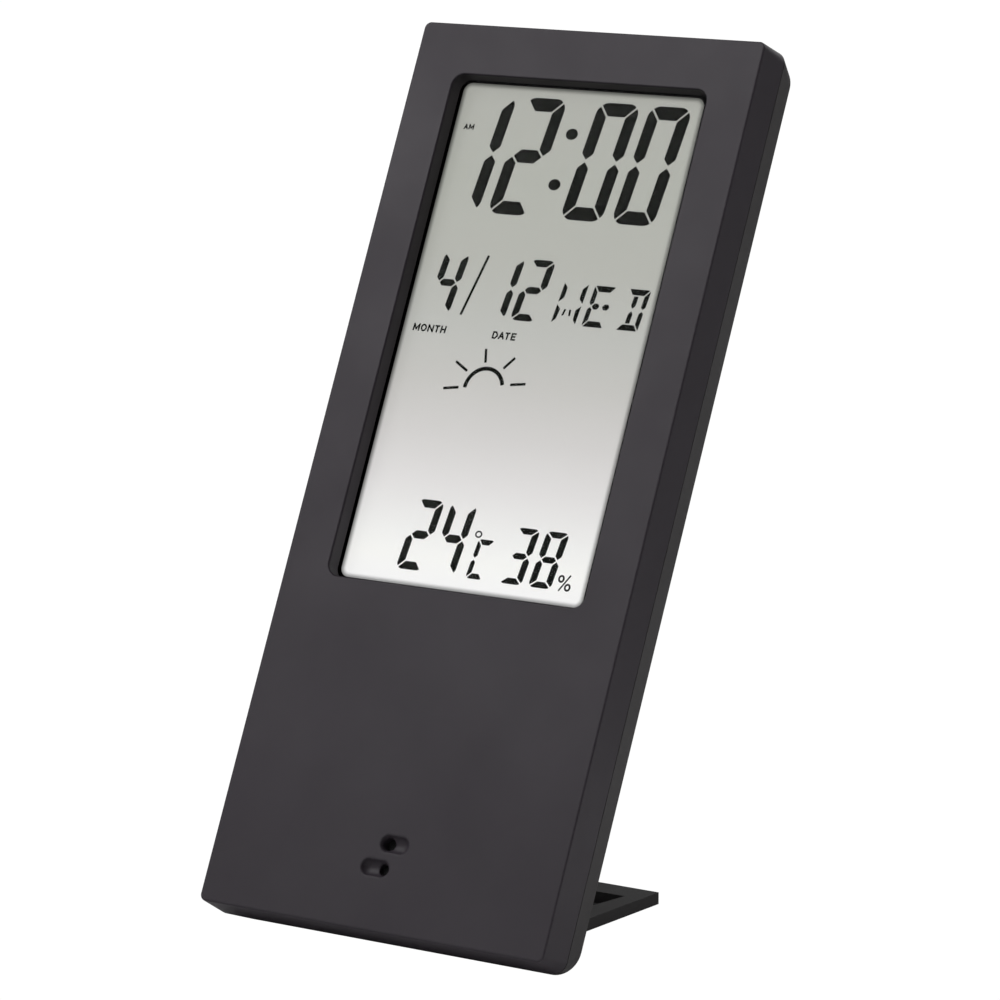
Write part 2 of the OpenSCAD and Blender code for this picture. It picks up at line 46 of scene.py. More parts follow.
# ---------------------------------------------------------------- the leaning case's own axes
def joint_axis(name):
    """Unit axis of a CAD joint, in the row frame."""
    joint = next(j for j in frame["joints"] if j["name"] == name)
    return Vector(joint["axis"]).normalized()


ACROSS = Vector((1, 0, 0))
UP = -joint_axis("door_slide")
BACK = -joint_axis("button_mode_press")
KEYHOLE_D = 14.25
KEYHOLE_Z = 127.0
KEYHOLE = next(m for m in frame["record"]["mounts"] if m["name"] == "wall_keyhole")
CORNER = Vector(KEYHOLE["pos_m"]) - (BACK * KEYHOLE_D + UP * KEYHOLE_Z) * MM
# Turns upright millimetres (x across, y back from the face, z up the face) into the row frame
CASE = (Matrix.Translation(CORNER) @ Matrix((ACROSS, BACK, UP)).transposed().to_4x4()
        @ Matrix.Scale(MM, 4))


# ---------------------------------------------------------------- shader helpers
class Shader:
    """A material under construction, with short calls for adding and joining nodes."""

    def __init__(self, name):
        self.material = bpy.data.materials.new(name)
        self.material.use_nodes = True
        self.tree = self.material.node_tree
        self.tree.nodes.clear()
        self.place = self.add("TexCoord").outputs["Object"]

    def add(self, kind, inputs=None, **settings):
        node = self.tree.nodes.new("ShaderNode" + kind)
        for key, value in settings.items():
            setattr(node, key, value)
        for key, value in (inputs or {}).items():
            if isinstance(value, bpy.types.NodeSocket):
                self.tree.links.new(value, node.inputs[key])
            else:
                node.inputs[key].default_value = value
        return node

    def noise(self, size_mm, detail=2.0, rough=0.5, stretch=None):
        """Noise of 0 to 1 with grains of a size; stretch scales it along each axis."""
        vector = self.place
        if stretch:
            vector = self.add("Mapping", {"Vector": vector, "Scale": stretch}).outputs[0]
        made = self.add("TexNoise", {"Vector": vector, "Scale": 1 / (size_mm * MM),
                                     "Detail": detail, "Roughness": rough})
        return made.outputs[0]

    def math(self, operation, a, b=0.0):
        return self.add("Math", {0: a, 1: b}, operation=operation).outputs[0]

    def spread(self, value, low, high, start=0.3, end=0.7):
        """Low to high while the value runs from start to end, and no further."""
        made = self.add("MapRange", {"Value": value, "From Min": start, "From Max": end,
                                     "To Min": low, "To Max": high})
        return made.outputs[0]

    def ramp(self, value, stops):
        """Colour from (position, colour) stops."""
        node = self.add("ValToRGB", {"Fac": value})
        while len(node.color_ramp.elements) < len(stops):
            node.color_ramp.elements.new(0.5)
        for element, (position, colour) in zip(node.color_ramp.elements, stops):
            element.position = position
            element.color = (*colour, 1)
        return node.outputs["Color"]

    def mix(self, factor, a, b, blend="MIX"):
        made = self.add("Mix", {"Factor": factor}, data_type="RGBA", blend_type=blend)
        for socket, value in ((made.inputs[6], a), (made.inputs[7], b)):
            if isinstance(value, bpy.types.NodeSocket):
                self.tree.links.new(value, socket)
            else:
                socket.default_value = (*value, 1)
        return made.outputs[2]

    def bump(self, height, depth_mm, normal=None):
        inputs = {"Height": height, "Distance": depth_mm * MM, "Strength": 1.0}
        if normal is not None:
            inputs["Normal"] = normal
        return self.add("Bump", inputs).outputs["Normal"]

    def soft_edge(self, radius_mm):
        """Normal that rounds edges by a radius, given as a number or as a socket."""
        if isinstance(radius_mm, bpy.types.NodeSocket):
            radius = self.math("MULTIPLY", radius_mm, MM)
        else:
            radius = radius_mm * MM
        return self.add("Bevel", {"Radius": radius}, samples=4).outputs["Normal"]

    def edge_mask(self, radius_mm):
        """1 on sharp convex or concave edges, 0 on flats."""
        rounded = self.soft_edge(radius_mm)
        flat = self.add("NewGeometry").outputs["Normal"]
        made = self.add("VectorMath", {0: rounded, 1: flat}, operation="DOT_PRODUCT")
        return self.spread(made.outputs["Value"], 1.0, 0.0, 0.8, 0.99)

    def along(self, axis):
        """Millimetres from the case's own corner along one of its axes."""
        offset = self.add("VectorMath", {0: self.place, 1: CORNER}, operation="SUBTRACT")
        made = self.add("VectorMath", {0: offset.outputs[0], 1: axis / MM},
                        operation="DOT_PRODUCT")
        return made.outputs["Value"]

    def times(self, colour, value):
        """A colour made darker or lighter by a grey value."""
        return self.mix(1.0, colour, self.grey(value), "MULTIPLY")

    def grey(self, value):
        return self.add("CombineColor", {0: value, 1: value, 2: value}).outputs[0]

    def past(self, place, middle, half):
        """How far a place lies beyond half from the middle, 0 within."""
        away = self.math("ABSOLUTE", self.math("SUBTRACT", place, middle))
        return self.math("MAXIMUM", self.math("SUBTRACT", away, half), 0.0)

    def surface(self, **inputs):
        """Closes the material with a principled surface; _ stands for a space in input names."""
        named = {key.replace("_", " "): value for key, value in inputs.items()}
        self.close(self.add("BsdfPrincipled", named).outputs[0])

    def close(self, shader):
        out = self.add("OutputMaterial")
        self.tree.links.new(shader, out.inputs["Surface"])


def rgb(red, green, blue):
    """Linear colour from the usual 0 to 255 display values."""
    def one(value):
        share = value / 255
        return share / 12.92 if share <= 0.04045 else ((share + 0.055) / 1.055) ** 2.4
    return one(red), one(green), one(blue)


# ---------------------------------------------------------------- materials
# Radii in millimetres that the shading rounds edges by: in general, and round the air vents
EDGE_SOFT, VENT_SOFT = 0.1, 0.55
# Where the display's opening and the two air vents are on the face: middle and half of each side
OPENING_X, OPENING_Z = (0.0, 24.0), (94.2, 41.8)
VENTS_X, VENTS_Z = (0.0, 4.6), (11.5, 4.6)


def opening_shade(s):
    """Painted shade for the walls of the display's opening: the share of their colour and sheen that they
    keep, least on the wall above.
    """
    z = s.along(UP)
    beyond = s.math("MAXIMUM", s.past(s.along(ACROSS), *OPENING_X), s.past(z, *OPENING_Z))
    inside = s.math("LESS_THAN", beyond, 0.001)
    deep = s.math("MULTIPLY", inside, s.spread(s.along(BACK), 0.0, 1.0, 0.02, 0.2))
    at_foot, at_head = s.spread(z, 0.55, 0.35, 52.8, 54.0), s.spread(z, 0.0, 0.35, 133.6, 135.0)
    return s.math("SUBTRACT", 1.0, s.math("MULTIPLY", deep, s.math("ADD", at_foot, at_head)))


def vent_softness(s):
    """Rounding radius of the front shell: wider close to the two air vents."""
    gap = s.math("MAXIMUM", s.past(s.along(ACROSS), *VENTS_X), s.past(s.along(UP), *VENTS_Z))
    return s.spread(gap, VENT_SOFT, EDGE_SOFT, 0.0, 0.6)


def moulded_plastic(name, colour, rough, shine=0.42, front=False):
    """Matt ABS with a fine spark-eroded grain, faint flow marks and rubbed edges; front adds painted shade
    in the display's opening.
    """
    s = Shader(name)
    shade = s.spread(s.noise(14, 3), 0.94, 1.06)
    soft = EDGE_SOFT
    if front:
        # painted shade: darkens the colour and dims the sheen on the walls of the display's opening
        painted_recess_shade = opening_shade(s)
        shade = s.math("MULTIPLY", shade, painted_recess_shade)
        soft, shine = vent_softness(s), s.math("MULTIPLY", painted_recess_shade, shine)
    base = s.times(colour, shade)
    worn = s.math("MULTIPLY", s.edge_mask(0.25), s.spread(s.noise(3.1, 4), 0.0, 0.3))
    base = s.mix(worn, base, tuple(c * 1.5 + 0.004 for c in colour))
    smudge = s.spread(s.noise(23, 4, 0.6), rough - 0.05, rough + 0.05)
    polish = s.math("SUBTRACT", smudge, s.math("MULTIPLY", worn, 0.12))
    fine, coarse = s.noise(0.16, 2, 0.6), s.noise(0.5, 2)
    height = s.math("ADD", fine, s.math("MULTIPLY", coarse, 0.6))
    normal = s.bump(height, 0.007, s.soft_edge(soft))
    s.surface(Base_Color=base, Roughness=polish, Normal=normal, Specular_IOR_Level=shine)
    return s.material


def soft_rubber(name, colour):
    """Silicone of the push buttons: slightly uneven, with a soft sheen."""
    s = Shader(name)
    base = s.times(colour, s.spread(s.noise(2.5, 3), 0.85, 1.15))
    normal = s.bump(s.noise(0.12, 2), 0.006, s.soft_edge(0.15))
    s.surface(Base_Color=base, Roughness=s.spread(s.noise(4, 3), 0.5, 0.62), Normal=normal,
              Sheen_Weight=0.15)
    return s.material


def clear_sheet(name, tint):
    """Thin clear sheet: light passes straight through, with a weak reflection on top."""
    s = Shader(name)
    through = s.add("BsdfTransparent", {"Color": (*tint, 1)}).outputs[0]
    smear = s.spread(s.noise(18, 4, 0.6), 0.03, 0.08)
    shine = s.add("BsdfGlossy", {"Roughness": smear}).outputs[0]
    facing = s.add("Fresnel", {"IOR": 1.45}).outputs[0]
    mixed = s.add("MixShader", {0: s.math("MULTIPLY", facing, 0.05), 1: through, 2: shine})
    s.close(mixed.outputs[0])
    return s.material


# The display's visible area inside its printed border: left, right, bottom, top, corner radius
VIEW_AREA = (-22.8, 20.74, 53.6, 135.1)
VIEW_R = 1.5
# Shares of the display's brightness that follow the room's light and that are a painted glow from the film
# itself
SHADED_PART = 0.20
PAINTED_GLOW_PART = 0.82
# Grey levels of the display's ground, from its bottom (0) to its top (1): a painted reflection whitens it
# downwards
GROUND_WITH_PAINTED_REFLECTION = ((0.0, rgb(255, 255, 255)), (0.055, rgb(253, 253, 250)), (0.104, rgb(246, 246, 244)),
          (0.202, rgb(230, 228, 227)), (0.30, rgb(215, 213, 211)), (0.41, rgb(201, 200, 196)),
          (0.51, rgb(192, 193, 188)), (0.644, rgb(184, 185, 178)), (0.816, rgb(180, 182, 174)),
          (1.0, rgb(178, 179, 172)))


def display_ground(name):
    """Reflective display film: a grey with a painted reflection that brightens it downwards, painted shade
    close to its border and a painted glow.
    """
    s = Shader(name)
    x0, x1, z0, z1 = VIEW_AREA
    share = s.spread(s.along(UP), 0.0, 1.0, z0, z1)
    base = s.ramp(share, GROUND_WITH_PAINTED_REFLECTION)
    base = s.times(base, s.spread(s.noise(0.12, 2), 0.985, 1.015))
    # distance inside a rounded rectangle, for the painted shade that darkens the ground near the border
    past_x = s.past(s.along(ACROSS), (x0 + x1) / 2, (x1 - x0) / 2 - VIEW_R)
    past_z = s.past(s.along(UP), (z0 + z1) / 2, (z1 - z0) / 2 - VIEW_R)
    reach = s.math("SQRT", s.math("ADD", s.math("MULTIPLY", past_x, past_x),
                                  s.math("MULTIPLY", past_z, past_z)))
    painted_border_shade = s.add("MapRange", {"Value": s.math("SUBTRACT", VIEW_R, reach), "From Min": 0.0,
                              "From Max": 0.9, "To Min": 0.3, "To Max": 1.0},
                 interpolation_type="SMOOTHSTEP")
    base = s.times(base, painted_border_shade.outputs[0])
    normal = s.bump(s.noise(0.2, 1), 0.001)
    # painted glow: the film gives out its own ground colour as light
    s.surface(Base_Color=s.mix(1.0, base, (SHADED_PART,) * 3, "MULTIPLY"),
              Roughness=s.spread(s.noise(9, 2), 0.5, 0.58), Normal=normal,
              Emission_Color=base, Emission_Strength=PAINTED_GLOW_PART, Specular_IOR_Level=0.1)
    return s.material


def display_ink(name):
    """Switched-on liquid crystal: nearly black with a trace of green."""
    s = Shader(name)
    tone = s.ramp(s.noise(2.0, 2), ((0.3, rgb(17, 19, 16)), (0.7, rgb(24, 26, 22))))
    s.surface(Base_Color=tone, Roughness=s.spread(s.noise(0.4, 1), 0.55, 0.65),
              Specular_IOR_Level=0.0, Normal=s.bump(s.noise(0.15, 1), 0.001))
    return s.material


def printed_border(name):
    """Black print round the display, with a painted highlight that greys it along the top."""
    s = Shader(name)
    tone = s.ramp(s.noise(1.5, 3), ((0.3, rgb(8, 8, 8)), (0.7, rgb(14, 14, 14))))
    # painted highlight along the top edge of the border
    lit = s.spread(s.along(UP), 0.0, 1.0, 134.4, 135.0)
    tone = s.mix(lit, tone, rgb(57, 57, 58))
    s.surface(Base_Color=tone, Roughness=s.spread(s.noise(0.6, 2), 0.6, 0.75),
              Specular_IOR_Level=0.1, Normal=s.bump(s.noise(0.1, 1), 0.001))
    return s.material


def circuit_lacquer(name):
    """Green solder mask over copper runs."""
    s = Shader(name)
    runs = s.add("TexBrick", {"Vector": s.place, "Scale": 260.0, "Mortar Size": 0.03,
                              "Color1": (*rgb(18, 74, 42), 1), "Color2": (*rgb(22, 84, 48), 1),
                              "Mortar": (*rgb(44, 120, 66), 1)})
    holes = s.add("TexVoronoi", {"Vector": s.place, "Scale": 240.0}, feature="F1")
    pads = s.spread(holes.outputs["Distance"], 1.0, 0.0, 0.10, 0.14)
    base = s.mix(pads, runs.outputs["Color"], rgb(200, 176, 96))
    normal = s.bump(runs.outputs["Fac"], 0.03, s.soft_edge(0.1))
    s.surface(Base_Color=base, Metallic=pads, Roughness=s.spread(s.noise(3, 3), 0.25, 0.4),
              Normal=normal, Coat_Weight=0.4)
    return s.material


def metal(name, colour, rough, brushed=None):
    """Bare metal, dull in places; brushed stretches its fine streaks along the axes."""
    s = Shader(name)
    streak = s.noise(0.25, 3, 0.6, brushed) if brushed else s.noise(0.8, 4, 0.6)
    base = s.mix(s.spread(s.noise(2.2, 3), 0.0, 0.35), colour, tuple(c * 0.7 for c in colour))
    normal = s.bump(streak, 0.004, s.soft_edge(0.06))
    s.surface(Base_Color=base, Metallic=1.0, Roughness=s.spread(streak, rough - 0.07, rough + 0.1),
              Normal=normal)
    return s.material


def coloured_gloss(name, colour, rough, size_mm=1.5):
    """Shiny plastic or resin, mottled in patches of a size."""
    s = Shader(name)
    base = s.mix(s.spread(s.noise(size_mm, 3), 0.0, 0.4), colour, tuple(c * 0.65 for c in colour))
    normal = s.bump(s.noise(size_mm * 0.3, 2), 0.004)
    s.surface(Base_Color=base, Roughness=s.spread(s.noise(size_mm * 2, 3), rough, rough + 0.12),
              Normal=normal, Coat_Weight=0.25)
    return s.material


def milky_plastic(name):
    """Slightly translucent white plastic."""
    s = Shader(name)
    base = s.ramp(s.noise(8, 3), ((0.3, rgb(228, 228, 224)), (0.7, rgb(240, 240, 236))))
    normal = s.bump(s.noise(0.2, 2), 0.005, s.soft_edge(0.1))
    s.surface(Base_Color=base, Roughness=s.spread(s.noise(5, 2), 0.45, 0.55), Normal=normal,
              Subsurface_Weight=0.1, Subsurface_Scale=0.001)
    return s.material


def layered_rubber(name):
    """Elastomer connector: thin dark conducting layers across a pink body."""
    s = Shader(name)
    wave = s.add("TexWave", {"Vector": s.place, "Scale": 1100.0}, wave_type="BANDS",
                 bands_direction="X")
    base = s.ramp(wave.outputs[0], ((0.4, rgb(205, 140, 150)), (0.6, rgb(60, 48, 50))))
    s.surface(Base_Color=base, Roughness=s.spread(s.noise(1, 2), 0.6, 0.75),
              Normal=s.bump(wave.outputs[0], 0.02))
    return s.material


def mesh_cloth(name):
    """Fine woven membrane behind the vents."""
    s = Shader(name)
    weave = s.add("TexChecker", {"Vector": s.place, "Scale": 6000.0}).outputs["Fac"]
    base = s.mix(weave, rgb(26, 26, 27), rgb(44, 44, 46))
    s.surface(Base_Color=base, Roughness=0.9, Normal=s.bump(weave, 0.03))
    return s.material


def cell_sleeve(name):
    """Shrink sleeve: a deep green body, a silver band and a fine ring at each end."""
    s = Shader(name)
    far = s.math("ABSOLUTE", s.add("SeparateXYZ", {0: s.place}).outputs["X"])
    scuff = s.spread(s.noise(3.5, 5, 0.65), 0.0, 0.35)
    body = s.mix(scuff, rgb(20, 74, 62), rgb(14, 52, 46))
    band = s.math("GREATER_THAN", far, 15.5 * MM)
    ring = s.math("LESS_THAN", s.math("ABSOLUTE", s.math("SUBTRACT", far, 14.6 * MM)), 0.25 * MM)
    base = s.mix(band, body, s.mix(scuff, rgb(186, 188, 190), rgb(160, 162, 165)))
    base = s.mix(ring, base, rgb(196, 170, 92))
    shiny = s.math("MAXIMUM", band, ring)
    s.surface(Base_Color=base, Metallic=s.math("MULTIPLY", shiny, 0.85),
              Roughness=s.spread(s.noise(2, 3), 0.22, 0.34), Coat_Weight=0.5,
              Normal=s.bump(s.noise(1.1, 3), 0.01))
    return s.material


FACE_PLASTIC = moulded_plastic("face_plastic", rgb(51.5, 45.5, 53), 0.55, front=True)
BACK_PLASTIC = moulded_plastic("back_plastic", rgb(51, 48, 49.5), 0.55)
STAND_PLASTIC = moulded_plastic("stand_plastic", rgb(52, 50.5, 51), 0.75, 0.3)
RUBBER = soft_rubber("button_rubber", rgb(40, 40, 41))
WINDOW = clear_sheet("window_clear", (0.99, 0.99, 0.99))
CELL_GLASS = clear_sheet("cell_glass", (0.93, 0.97, 0.95))
GROUND_FILM = display_ground("display_ground")
INK = display_ink("display_ink")
BORDER = printed_border("window_border")
REFLECTOR = metal("reflector_film", rgb(190, 192, 188), 0.4, (1, 1, 12))
TRAY = milky_plastic("tray_white")
ZEBRA = layered_rubber("zebra_rubber")
LACQUER = circuit_lacquer("board_lacquer")
RESIN = coloured_gloss("black_resin", rgb(18, 18, 19), 0.2, 2.5)
COMPONENT = coloured_gloss("component_black", rgb(34, 34, 36), 0.4, 0.8)
CAN = metal("drawn_can", rgb(206, 208, 211), 0.25, (14, 1, 1))
CERAMIC = milky_plastic("sensor_white")
BEAD = coloured_gloss("thermistor_blue", rgb(34, 52, 120), 0.2, 0.8)
CLOTH = mesh_cloth("vent_mesh")
SLEEVE = cell_sleeve("cell_sleeve")
NICKEL = metal("nickel_steel", rgb(196, 197, 198), 0.28, (1, 9, 1))
SCREW = metal("zinc_screw", rgb(176, 180, 188), 0.32)
RED = coloured_gloss("wire_red", rgb(176, 26, 20), 0.35)
BLACK = coloured_gloss("wire_black", rgb(22, 22, 22), 0.35)
GREY = coloured_gloss("wire_grey", rgb(128, 128, 132), 0.4)

NODE_MATERIAL = {
    "front_housing": FACE_PLASTIC, "rear_housing": BACK_PLASTIC, "battery_door": BACK_PLASTIC,
    "kickstand": STAND_PLASTIC, "button_mode": RUBBER, "button_up": RUBBER,
    "button_down": RUBBER, "button_unit": RUBBER, "display_window": WINDOW,
    "front_polarizer": GROUND_FILM, "lcd_front_glass": CELL_GLASS,
    "lcd_rear_glass": CELL_GLASS, "rear_reflector": REFLECTOR, "lcd_tray": TRAY,
    "zebra_strip": ZEBRA, "main_board": LACQUER, "chip_blob": RESIN, "crystal": CAN,
    "chip_resistors": COMPONENT, "capacitors": CAN, "switch_bodies": COMPONENT,
    "switch_plungers": CERAMIC, "sensor_board": LACQUER, "humidity_sensor": CERAMIC,
    "thermistor": BEAD, "vent_membrane": CLOTH, "battery_upper": SLEEVE,
    "battery_lower": SLEEVE, "contact_positive": NICKEL, "contact_negative": NICKEL,
    "contact_bridge": NICKEL, "wire_red": RED, "wire_black": BLACK, "sensor_cable": GREY,
    "case_screws": SCREW, "tray_screws": SCREW, "board_screws": SCREW, "sensor_screws": SCREW,
}


# Smooth shading stops at edges sharper than this
SHARP = math.radians(32)


def dress_cad_nodes():
    """Gives every CAD node its material and smooth shading."""
    for name, material in NODE_MATERIAL.items():
        mesh = NODES[name].data
        mesh.materials.clear()
        mesh.materials.append(material)
        mesh.shade_smooth()
        mesh.set_sharp_from_angle(angle=SHARP)


# ---------------------------------------------------------------- mesh helpers
def piece(name, mesh, material):
    """A new visible object in the row frame that rides on the housing."""
    obj = bpy.data.objects.new(name, mesh)
    bpy.context.scene.collection.objects.link(obj)
    mesh.materials.append(material)
    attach(obj, "housing")


def finished(bm, name):
    """Mesh in the row frame from a bmesh in upright millimetres."""
    bmesh.ops.recalc_face_normals(bm, faces=bm.faces)
    mesh = bpy.data.meshes.new(name)
    bm.transform(CASE)
    bm.to_mesh(mesh)
    bm.free()
    return mesh


def prisms(name, outlines, depth0, depth1):
    """Mesh of thin closed prisms from outlines in the face's plane, in upright millimetres."""
    bm = bmesh.new()
    for outline in outlines:
        front = [bm.verts.new((x, depth0, z)) for x, z in outline]
        rear = [bm.verts.new((x, depth1, z)) for x, z in outline]
        bm.faces.new(front)
        bm.faces.new(rear[::-1])
        for i in range(len(outline)):
            j = (i + 1) % len(outline)
            bm.faces.new((front[j], front[i], rear[i], rear[j]))
    return finished(bm, name)


def rounded_box(x0, x1, z0, z1, r, steps=8):
    """Outline of a rounded rectangle, anticlockwise as seen from the front."""
    points = []
    for cx, cz, start in ((x1 - r, z0 + r, 270), (x1 - r, z1 - r, 0),
                          (x0 + r, z1 - r, 90), (x0 + r, z0 + r, 180)):
        for k in range(steps + 1):
            turn = math.radians(start + 90 * k / steps)
            points.append((cx + r * math.cos(turn), cz + r * math.sin(turn)))
    return points


def frame_mesh(name, outer, inner, depth0, depth1):
    """Flat ring between two outlines that have the same number of points."""
    bm = bmesh.new()
    rings = [[bm.verts.new((x, d, z)) for x, z in outline]
             for outline, d in ((outer, depth0), (inner, depth0), (inner, depth1), (outer, depth1))]
    count = len(outer)
    for k in range(4):
        a, b = rings[k], rings[(k + 1) % 4]
        for i in range(count):
            j = (i + 1) % count
            bm.faces.new((a[i], a[j], b[j], b[i]))
    return finished(bm, name)


def stroke(points, width):
    """Outline of an open path with square ends."""
    left, right = [], []
    for i, (x, z) in enumerate(points):
        ax, az = points[max(i - 1, 0)]
        bx, bz = points[min(i + 1, len(points) - 1)]
        dx, dz = bx - ax, bz - az
        length = math.hypot(dx, dz)
        nx, nz = -dz / length * width / 2, dx / length * width / 2
        left.append((x + nx, z + nz))
        right.append((x - nx, z - nz))
    return left + right[::-1]


def ring_parts(cx, cz, rx, rz, width, steps=28):
    """A closed thin ring as a fan of short outlines."""
    def at(k, grow):
        turn = math.tau * k / steps
        return cx + (rx + grow) * math.cos(turn), cz + (rz + grow) * math.sin(turn)
    half = width / 2
    return [[at(k, half), at(k + 1, half), at(k + 1, -half), at(k, -half)] for k in range(steps)]


# ---------------------------------------------------------------- the display's figures
BARS_LIT = {"0": "abcdef", "1": "bc", "2": "abged", "3": "abgcd", "4": "fgbc", "8": "abcdefg",
            "C": "afed", "D": "abcd", "E": "afed"}


class Row:
    """One size of slanted seven-bar cells: all the figures of a line share it."""

    def __init__(self, z, height, width, bar, thick, gap, corner, lean):
        self.z, self.height, self.width, self.lean = z, height, width, lean
        self.bar, self.thick, self.gap = bar, thick, gap
        self.bars = self.seven_bars(gap / math.sqrt(2), corner)

    def seven_bars(self, shift, corner):
        """Outlines of the bars in an upright cell with its lower left corner at 0, 0.

        a is the top bar, b to f follow clockwise round the cell, and g is the middle bar.
        """
        width, height, bar, thick = self.width, self.height, self.bar, self.thick
        half, middle = bar / 2, height / 2
        tip = middle + 0.75 * self.gap

        def bend(start, end):
            turns = [math.radians(start + (end - start) * k / 5) for k in range(6)]
            return [(width - corner + corner * math.cos(t), height - corner + corner * math.sin(t))
                    for t in turns]

        over = [(x - shift, z) for x, z in bend(90, 45)] + [(width - bar - shift, height - thick)]
        bars = {"a": over + [(width - x, z) for x, z in over[::-1]]}
        bars["b"] = [(x, z - shift) for x, z in bend(45, 0)]
        bars["b"] += [(width, tip + half), (width - half, tip), (width - bar, tip + half),
                      (width - bar, height - thick - shift)]
        bars["f"] = [(width - x, z) for x, z in bars["b"]]
        nib, reach = half + shift, half + shift + thick / 2
        bars["g"] = [(nib, middle), (reach, middle + thick / 2),
                     (width - reach, middle + thick / 2), (width - nib, middle),
                     (width - reach, middle - thick / 2), (reach, middle - thick / 2)]
        for upper, lower in (("a", "d"), ("b", "c"), ("f", "e")):
            bars[lower] = [(x, height - z) for x, z in bars[upper]]
        return bars

    def put(self, points, x):
        """Slants an outline of the upright cell and moves the cell to x."""
        return [(x + px + self.lean * pz, self.z + pz) for px, pz in points]

    def figure(self, text, x):
        """Outlines of the lit bars of a figure in the cell at x."""
        return [self.put(self.bars[key], x) for key in BARS_LIT[text]]


def oval(cx, cz, rx, rz):
    """Outline of a filled dot."""
    turns = [math.tau * k / 24 for k in range(24)]
    return [(cx + rx * math.cos(t), cz + rz * math.sin(t)) for t in turns]


def clock_figures():
    """The big time: two pairs of digits and a colon."""
    row = Row(113.95, 19.4, 7.47, 2.02, 2.2, 0.3, 1.7, 0.105)
    outlines = []
    for text, x in (("1", -22.1), ("2", -12.9), ("0", 0.29), ("0", 9.48)):
        outlines += row.figure(text, x)
    return outlines + [oval(-1.22, 127.8, 1.07, 0.92), oval(-2.08, 119.4, 1.07, 0.92)]


def date_figures():
    """Month and day with a slash between them."""
    row = Row(97.11, 10.0, 4.48, 1.2, 1.13, 0.25, 0.9, 0.124)
    outlines = []
    for text, x in (("4", -19.67), ("1", -9.54), ("2", -4.03)):
        outlines += row.figure(text, x)
    return outlines + [stroke([(-12.99, 97.15), (-10.56, 107.05)], 0.43)]


def weekday_figures():
    """Three letters of short bars."""
    row = Row(97.2, 6.66, 3.85, 0.77, 0.95, 0.2, 0.25, 0.12)
    bar, gap, middle, height = row.bar, row.gap, row.height / 2, row.height
    outlines = []
    # W: four uprights cut on the slant, and two thin slanted strokes between them
    w_width, w_x = 4.28, 3.34
    low = [(0, gap), (bar * 0.8, bar * 1.1), (bar, middle - bar * 1.2), (0, middle - gap)]
    low_thin = [(1.36, 1.42), (1.7, 1.42), (1.87, 2.45), (1.53, 2.45)]
    tall = [(0, middle + gap), (bar, middle + gap + bar), (bar, height - bar), (0, height)]
    for points in (low, tall, low_thin):
        outlines.append(row.put(points, w_x))
        outlines.append(row.put([(w_width - x, z) for x, z in points], w_x))
    # E: two lozenges in place of the middle bar
    outlines += row.figure("E", 8.8)
    half, nib = row.thick / 2, 0.3
    for cx in (1.28, 3.08):
        lozenge = [(cx - 0.66, middle), (cx - nib, middle + half), (cx + nib, middle + half),
                   (cx + 0.66, middle), (cx + nib, middle - half), (cx - nib, middle - half)]
        outlines.append(row.put(lozenge, 8.8))
    # D: a second pair of uprights inside its left end
    d_x = 14.82
    outlines += row.figure("D", d_x)
    left, right = 1.28, 1.28 + bar
    inner = [(left, row.thick + gap), (right, row.thick + gap), (right, middle - 0.7),
             ((left + right) / 2, middle - gap), (left, middle - 0.7)]
    outlines.append(row.put(inner, d_x))
    outlines.append(row.put([(x, height - z) for x, z in inner], d_x))
    return outlines


def sunrise_sign():
    """Half circle with rays: the generic sign for the weather."""
    steps, start, end = 22, 180, 17
    arc = []
    for k in range(steps + 1):
        turn = math.radians(start + (end - start) * k / steps)
        arc.append((-5.63 + 3.36 * math.cos(turn), 85.63 + 3.36 * math.sin(turn)))
    rays = (((-6.87, 92.1), (-6.38, 89.9)), ((-1.33, 91.13), (-2.95, 89.25)),
            ((-11.67, 89.62), (-9.28, 88.28)), ((-12.75, 85.15), (-10.08, 85.55)),
            ((-1.03, 86.8), (1.63, 87.17)))
    return [stroke(arc, 0.65)] + [stroke(list(ray), 0.43) for ray in rays]


def climate_figures():
    """Temperature with its degree ring and unit, humidity with its percent sign."""
    temperature = Row(56.02, 11.3, 4.66, 1.23, 1.3, 0.26, 0.9, 0.107)
    unit = Row(55.9, 6.3, 3.0, 0.76, 0.86, 0.22, 0.5, 0.12)
    humidity = Row(55.88, 8.9, 3.99, 1.12, 0.97, 0.24, 0.7, 0.12)
    outlines = temperature.figure("2", -13.17) + temperature.figure("4", -7.2)
    outlines += unit.figure("C", -0.48)
    outlines += humidity.figure("3", 5.52) + humidity.figure("8", 10.7)
    outlines += ring_parts(0.02, 62.9, 0.51, 0.45, 0.24)
    outlines.append(stroke([(16.1, 55.85), (17.66, 58.42)], 0.25))
    outlines += ring_parts(16.17, 57.73, 0.41, 0.47, 0.3, 16)
    outlines += ring_parts(17.52, 56.5, 0.41, 0.47, 0.3, 16)
    return outlines


# Strokes of the small capitals in a cell one unit wide and one high
LETTER_STROKES = {
    "A": (((0, 0), (0.5, 1)), ((0.5, 1), (1, 0)), ((0.2, 0.33), (0.8, 0.33))),
    "D": (((0, 0), (0, 1)), ((0, 1), (0.6, 1)), ((0.6, 1), (1, 0.66)), ((1, 0.66), (1, 0.34)),
          ((1, 0.34), (0.6, 0)), ((0.6, 0), (0, 0))),
    "E": (((0, 0), (0, 1)), ((0, 1), (1, 1)), ((0, 0.5), (0.85, 0.5)), ((0, 0), (1, 0))),
    "H": (((0, 0), (0, 1)), ((1, 0), (1, 1)), ((0, 0.5), (1, 0.5))),
    "M": (((0, 0), (0, 1)), ((0, 1), (0.5, 0.2)), ((0.5, 0.2), (1, 1)), ((1, 1), (1, 0))),
    "N": (((0, 0), (0, 1)), ((0, 1), (1, 0)), ((1, 0), (1, 1))),
    "T": (((0, 1), (1, 1)), ((0.5, 1), (0.5, 0))),
}


